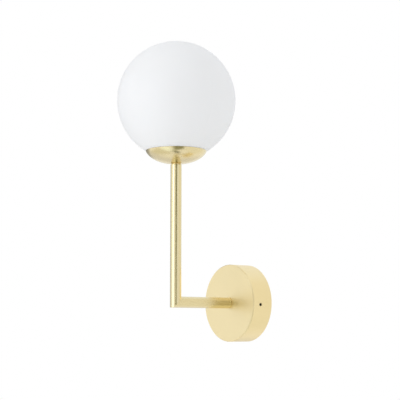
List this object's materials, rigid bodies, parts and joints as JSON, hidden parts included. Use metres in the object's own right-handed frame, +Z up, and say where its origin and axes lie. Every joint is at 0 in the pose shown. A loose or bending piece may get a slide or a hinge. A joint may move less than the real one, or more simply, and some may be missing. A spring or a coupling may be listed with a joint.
{
  "type": "globe wall sconce",
  "caption": "Wall light with an opal glass globe in a brass dish on a mitred tube arm, standing up from a round canopy over a steel wall bracket.",
  "frame": {"origin": "centre of the wall bracket's back face, on the arm's axis, in the wall plane", "axes": "+Z up along the riser, -Y straight out from the wall along the arm, +X to the right for a viewer who faces the wall"},
  "size_m": [0.15, 0.19, 0.3788],
  "materials": {
    "satin_brass": "satin, finely brushed",
    "turned_brass": "turned",
    "zinc_steel": "zinc plated",
    "spring_steel": "satin",
    "set_screw_steel": "blackened",
    "contact_metal": "nickel plated",
    "opal_glass": "satin opal",
    "lampholder_ceramic": "unglazed",
    "seat_rubber": "matte silicone",
    "block_plastic": "natural polyamide",
    "bulb_plastic": "fine matte",
    "bulb_frosted": "frosted",
    "lead_brown": "insulation",
    "lead_blue": "insulation",
    "lead_green": "striped insulation"
  },
  "bodies": {
    "bracket": {"wall_bracket": "zinc_steel", "earth_washer": "zinc_steel", "earth_screw": "zinc_steel"},
    "lamp": {"canopy_cover": "satin_brass", "terminal_strap": "zinc_steel", "canopy_lock_washer": "zinc_steel", "canopy_nut": "zinc_steel", "arm_nipple": "turned_brass", "arm_bush": "turned_brass", "arm_tube": "satin_brass", "riser_tube": "satin_brass", "riser_bush": "turned_brass", "cup_nipple": "turned_brass", "globe_cup": "satin_brass", "cup_spacer": "turned_brass", "spring_gallery": "spring_steel", "globe_seat_ring": "seat_rubber", "holder_bracket": "zinc_steel", "cup_lock_washer": "zinc_steel", "cup_nut": "zinc_steel", "lampholder": "lampholder_ceramic", "holder_contacts": "contact_metal", "holder_screws": "zinc_steel", "terminal_block": "block_plastic", "terminal_clamps": "turned_brass", "terminal_screws": "zinc_steel", "block_screws": "zinc_steel", "earth_tag": "zinc_steel", "tag_screw": "zinc_steel", "live_lead": "lead_brown", "neutral_lead": "lead_blue", "earth_lead": "lead_green"},
    "globe": {"glass_globe": "opal_glass"},
    "bulb": {"bulb_base": "bulb_plastic", "bulb_diffuser": "bulb_frosted", "bulb_pins": "contact_metal"},
    "left_screw": {"set_screw_left": "set_screw_steel"},
    "right_screw": {"set_screw_right": "set_screw_steel"}
  },
  "joints": [
    {"name": "lamp_off_bracket", "type": "slide", "parent": "bracket", "child": "lamp", "axis": [0, -1, 0], "range_m": [0, 0.035]},
    {"name": "globe_lift", "type": "slide", "parent": "lamp", "child": "globe", "axis": [0, 0, 1], "range_m": [0, 0.12]},
    {"name": "bulb_pull", "type": "slide", "parent": "lamp", "child": "bulb", "axis": [0, 0, 1], "range_m": [0, 0.02]},
    {"name": "left_screw_out", "type": "slide", "parent": "lamp", "child": "left_screw", "axis": [-1, 0, 0], "range_m": [0, 0.0035]},
    {"name": "right_screw_out", "type": "slide", "parent": "lamp", "child": "right_screw", "axis": [1, 0, 0], "range_m": [0, 0.0035]}
  ]
}
